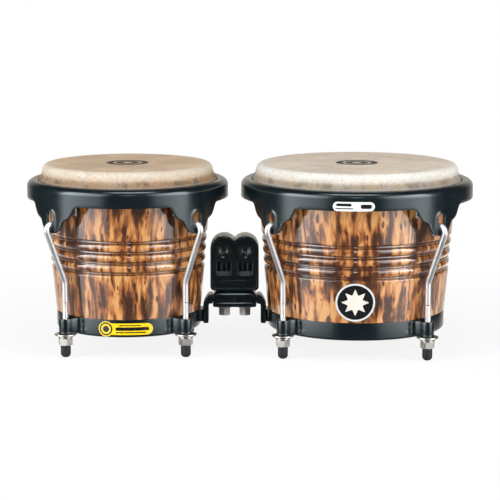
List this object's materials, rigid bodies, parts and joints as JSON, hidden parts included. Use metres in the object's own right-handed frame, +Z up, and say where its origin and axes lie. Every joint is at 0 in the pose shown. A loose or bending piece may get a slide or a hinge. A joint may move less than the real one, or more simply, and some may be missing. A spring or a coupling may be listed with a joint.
{
  "type": "bongo drums",
  "caption": "Two joined wooden hand drums of different size with rawhide heads, black steel rims, hooked tuning lugs on rubber feet and a clamped centre block.",
  "frame": {"origin": "on the floor, at the middle of the bounding box's bottom face", "axes": "+X from the small drum to the large drum, +Z up, -Y towards the player's front, where the badge is"},
  "size_m": [0.4492, 0.2338, 0.1874],
  "materials": {
    "lacquered_wood": "figured hardwood under high-gloss clear lacquer",
    "small_rawhide": "dry rawhide, matte",
    "large_rawhide": "dry rawhide, matte",
    "black_steel": "black powder coat, satin",
    "hoop_steel": "plain drawn steel",
    "chrome": "bright chrome plate",
    "nickel": "nickel plate, slightly warm",
    "rubber": "matte black rubber",
    "block_plastic": "glossy black moulding",
    "zinc": "zinc plated",
    "badge_enamel": "black enamel in a bright ring, no text"
  },
  "bodies": {
    "drums": {"small_shell": "lacquered_wood", "small_head": "small_rawhide", "small_bottom_ring": "black_steel", "small_washer_front_right": "nickel", "small_washer_back_right": "nickel", "small_washer_back_left": "nickel", "small_washer_front_left": "nickel", "large_shell": "lacquered_wood", "large_head": "large_rawhide", "large_bottom_ring": "black_steel", "large_washer_front_right": "nickel", "large_washer_back_right": "nickel", "large_washer_back_left": "nickel", "large_washer_front_left": "nickel", "large_badge": "badge_enamel", "centre_block": "block_plastic", "upper_clamp_plate": "black_steel", "lower_clamp_plate": "black_steel", "clamp_bolt_left": "zinc", "clamp_washer_left": "zinc", "captive_nut_left": "zinc", "clamp_bolt_right": "zinc", "clamp_washer_right": "zinc", "captive_nut_right": "zinc"},
    "small_rim_set": {"small_rim": "black_steel", "small_flesh_hoop": "hoop_steel", "small_lug_front_right": "chrome", "small_cap_front_right": "rubber", "small_lug_back_right": "chrome", "small_cap_back_right": "rubber", "small_lug_back_left": "chrome", "small_cap_back_left": "rubber", "small_lug_front_left": "chrome", "small_cap_front_left": "rubber"},
    "large_rim_set": {"large_rim": "black_steel", "large_flesh_hoop": "hoop_steel", "large_lug_front_right": "chrome", "large_cap_front_right": "rubber", "large_lug_back_right": "chrome", "large_cap_back_right": "rubber", "large_lug_back_left": "chrome", "large_cap_back_left": "rubber", "large_lug_front_left": "chrome", "large_cap_front_left": "rubber"},
    "small_tuner_front_right": {"small_nut_front_right": "nickel"},
    "small_tuner_back_right": {"small_nut_back_right": "nickel"},
    "small_tuner_back_left": {"small_nut_back_left": "nickel"},
    "small_tuner_front_left": {"small_nut_front_left": "nickel"},
    "large_tuner_front_right": {"large_nut_front_right": "nickel"},
    "large_tuner_back_right": {"large_nut_back_right": "nickel"},
    "large_tuner_back_left": {"large_nut_back_left": "nickel"},
    "large_tuner_front_left": {"large_nut_front_left": "nickel"}
  },
  "joints": [
    {"name": "small_tuning", "type": "slide", "parent": "drums", "child": "small_rim_set", "axis": [0, 0, -1], "range_m": [0, 0.004], "deforming": ["small_head"]},
    {"name": "small_nut_front_right_turn", "type": "hinge", "parent": "drums", "child": "small_tuner_front_right", "pos_m": [-0.06374, -0.05961, 0.017], "axis": [0, 0, 1], "range_deg": [0, 1441]},
    {"name": "small_nut_back_right_turn", "type": "hinge", "parent": "drums", "child": "small_tuner_back_right", "pos_m": [-0.06374, 0.05961, 0.017], "axis": [0, 0, 1], "range_deg": [0, 1441]},
    {"name": "small_nut_back_left_turn", "type": "hinge", "parent": "drums", "child": "small_tuner_back_left", "pos_m": [-0.18296, 0.05961, 0.017], "axis": [0, 0, 1], "range_deg": [0, 1441]},
    {"name": "small_nut_front_left_turn", "type": "hinge", "parent": "drums", "child": "small_tuner_front_left", "pos_m": [-0.18296, -0.05961, 0.017], "axis": [0, 0, 1], "range_deg": [0, 1441]},
    {"name": "large_tuning", "type": "slide", "parent": "drums", "child": "large_rim_set", "axis": [0, 0, -1], "range_m": [0, 0.004], "deforming": ["large_head"]},
    {"name": "large_nut_front_right_turn", "type": "hinge", "parent": "drums", "child": "large_tuner_front_right", "pos_m": [0.17474, -0.07519, 0.017], "axis": [0, 0, 1], "range_deg": [0, 1441]},
    {"name": "large_nut_back_right_turn", "type": "hinge", "parent": "drums", "child": "large_tuner_back_right", "pos_m": [0.18294, 0.06699, 0.017], "axis": [0, 0, 1], "range_deg": [0, 1441]},
    {"name": "large_nut_back_left_turn", "type": "hinge", "parent": "drums", "child": "large_tuner_back_left", "pos_m": [0.04076, 0.07519, 0.017], "axis": [0, 0, 1], "range_deg": [0, 1441]},
    {"name": "large_nut_front_left_turn", "type": "hinge", "parent": "drums", "child": "large_tuner_front_left", "pos_m": [0.03256, -0.06699, 0.017], "axis": [0, 0, 1], "range_deg": [0, 1441]}
  ],
  "couplings": [
    {"joint": "small_nut_front_right_turn", "follows": "small_tuning", "rad_per_m": 6283.2},
    {"joint": "small_nut_back_right_turn", "follows": "small_tuning", "rad_per_m": 6283.2},
    {"joint": "small_nut_back_left_turn", "follows": "small_tuning", "rad_per_m": 6283.2},
    {"joint": "small_nut_front_left_turn", "follows": "small_tuning", "rad_per_m": 6283.2},
    {"joint": "large_nut_front_right_turn", "follows": "large_tuning", "rad_per_m": 6283.2},
    {"joint": "large_nut_back_right_turn", "follows": "large_tuning", "rad_per_m": 6283.2},
    {"joint": "large_nut_back_left_turn", "follows": "large_tuning", "rad_per_m": 6283.2},
    {"joint": "large_nut_front_left_turn", "follows": "large_tuning", "rad_per_m": 6283.2}
  ]
}
